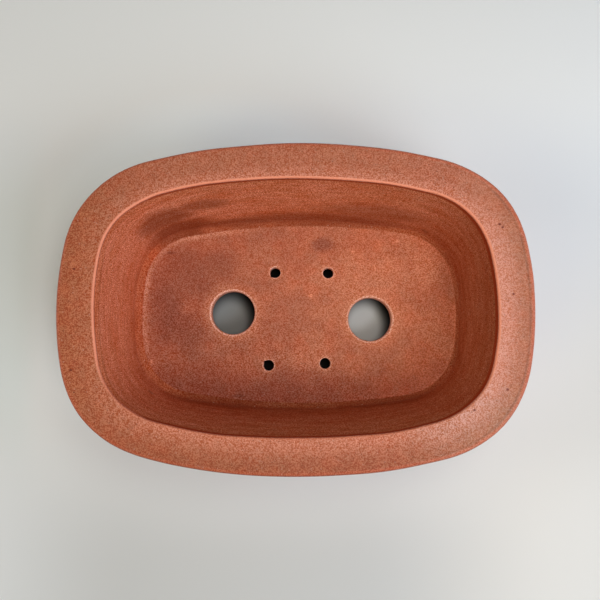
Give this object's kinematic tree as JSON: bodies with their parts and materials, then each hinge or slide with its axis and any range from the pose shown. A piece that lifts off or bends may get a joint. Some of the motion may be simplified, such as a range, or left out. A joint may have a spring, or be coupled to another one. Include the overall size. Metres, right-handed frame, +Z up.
{
  "type": "rectangular bonsai pot",
  "caption": "Unglazed clay bonsai pot: a rounded-rectangle bowl with bowed sides, a wide flat lip, leaning walls, a flat floor with drain and tie-down wire holes, and bracket feet.",
  "frame": {"origin": "on the ground below the middle of the pot", "axes": "+X along the length, +Y towards the back, +Z up"},
  "size_m": [0.3, 0.2098, 0.094],
  "materials": {
    "lip": "matt, sandy, unglazed",
    "wall": "matt, wiped, unglazed",
    "floor": "matt, wiped, unglazed",
    "foot": "matt, unglazed"
  },
  "bodies": {
    "root": {"lip": "lip", "wall": "wall", "joint_coil": "wall", "floor_slab": "floor", "foot_front_left": "foot", "foot_front_right": "foot", "foot_back_left": "foot", "foot_back_right": "foot"}
  },
  "joints": []
}
